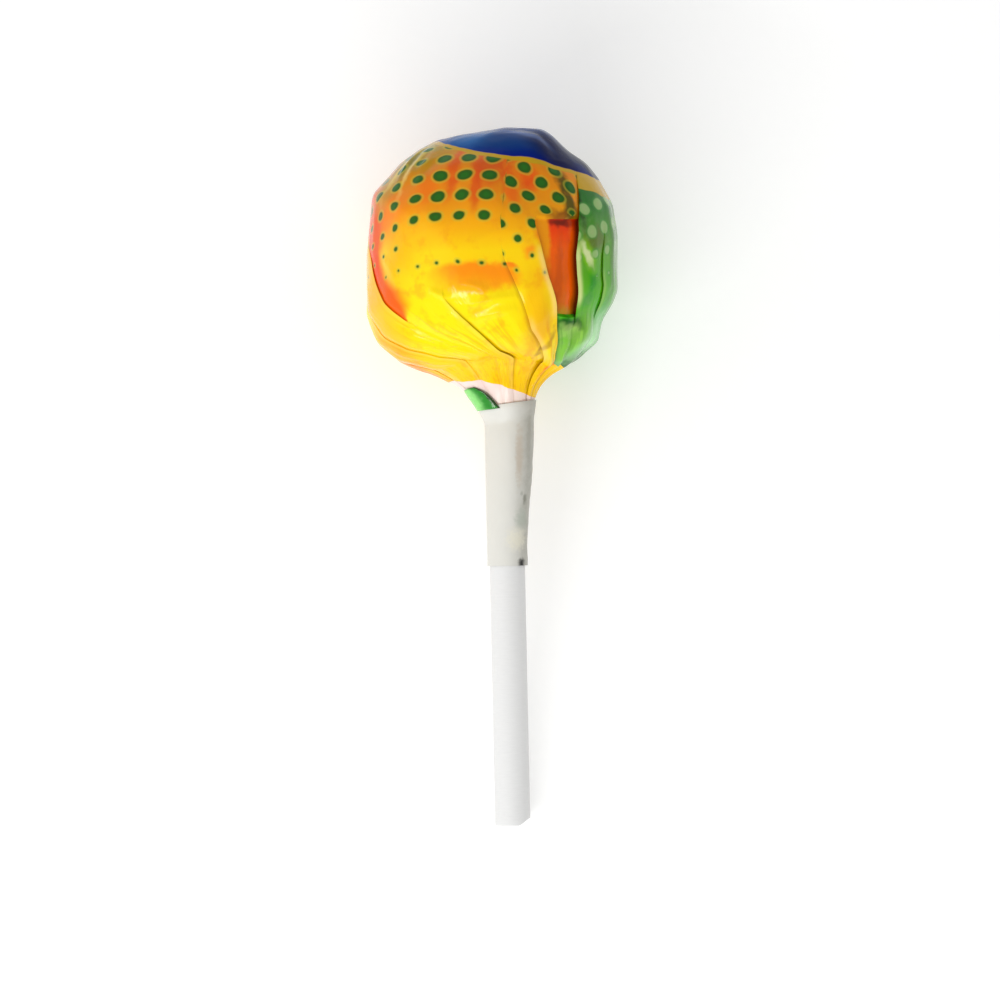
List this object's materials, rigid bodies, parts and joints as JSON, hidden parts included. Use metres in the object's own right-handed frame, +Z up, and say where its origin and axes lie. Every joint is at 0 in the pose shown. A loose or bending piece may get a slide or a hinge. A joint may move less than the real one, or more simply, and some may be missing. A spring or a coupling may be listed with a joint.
{
  "type": "lollipop",
  "caption": "Ball lollipop in a printed film wrapper gathered in twisted pleats at the neck, with a white sleeve and a straight stick, lying on its side",
  "frame": {"origin": "the middle of the small flat spot under the ball, where it lies on a surface", "axes": "+Z up; +Y from the stick's end towards the head; +X to the right of the shown side, which faces up"},
  "size_m": [0.0277, 0.0755, 0.0268],
  "materials": {
    "printed_film": "glossy printed plastic film",
    "white_sleeve": "satin white film",
    "white_stick": "smooth matte white"
  },
  "bodies": {
    "root": {"wrapped_head": "printed_film", "neck_sleeve": "white_sleeve", "stick": "white_stick"}
  },
  "joints": []
}
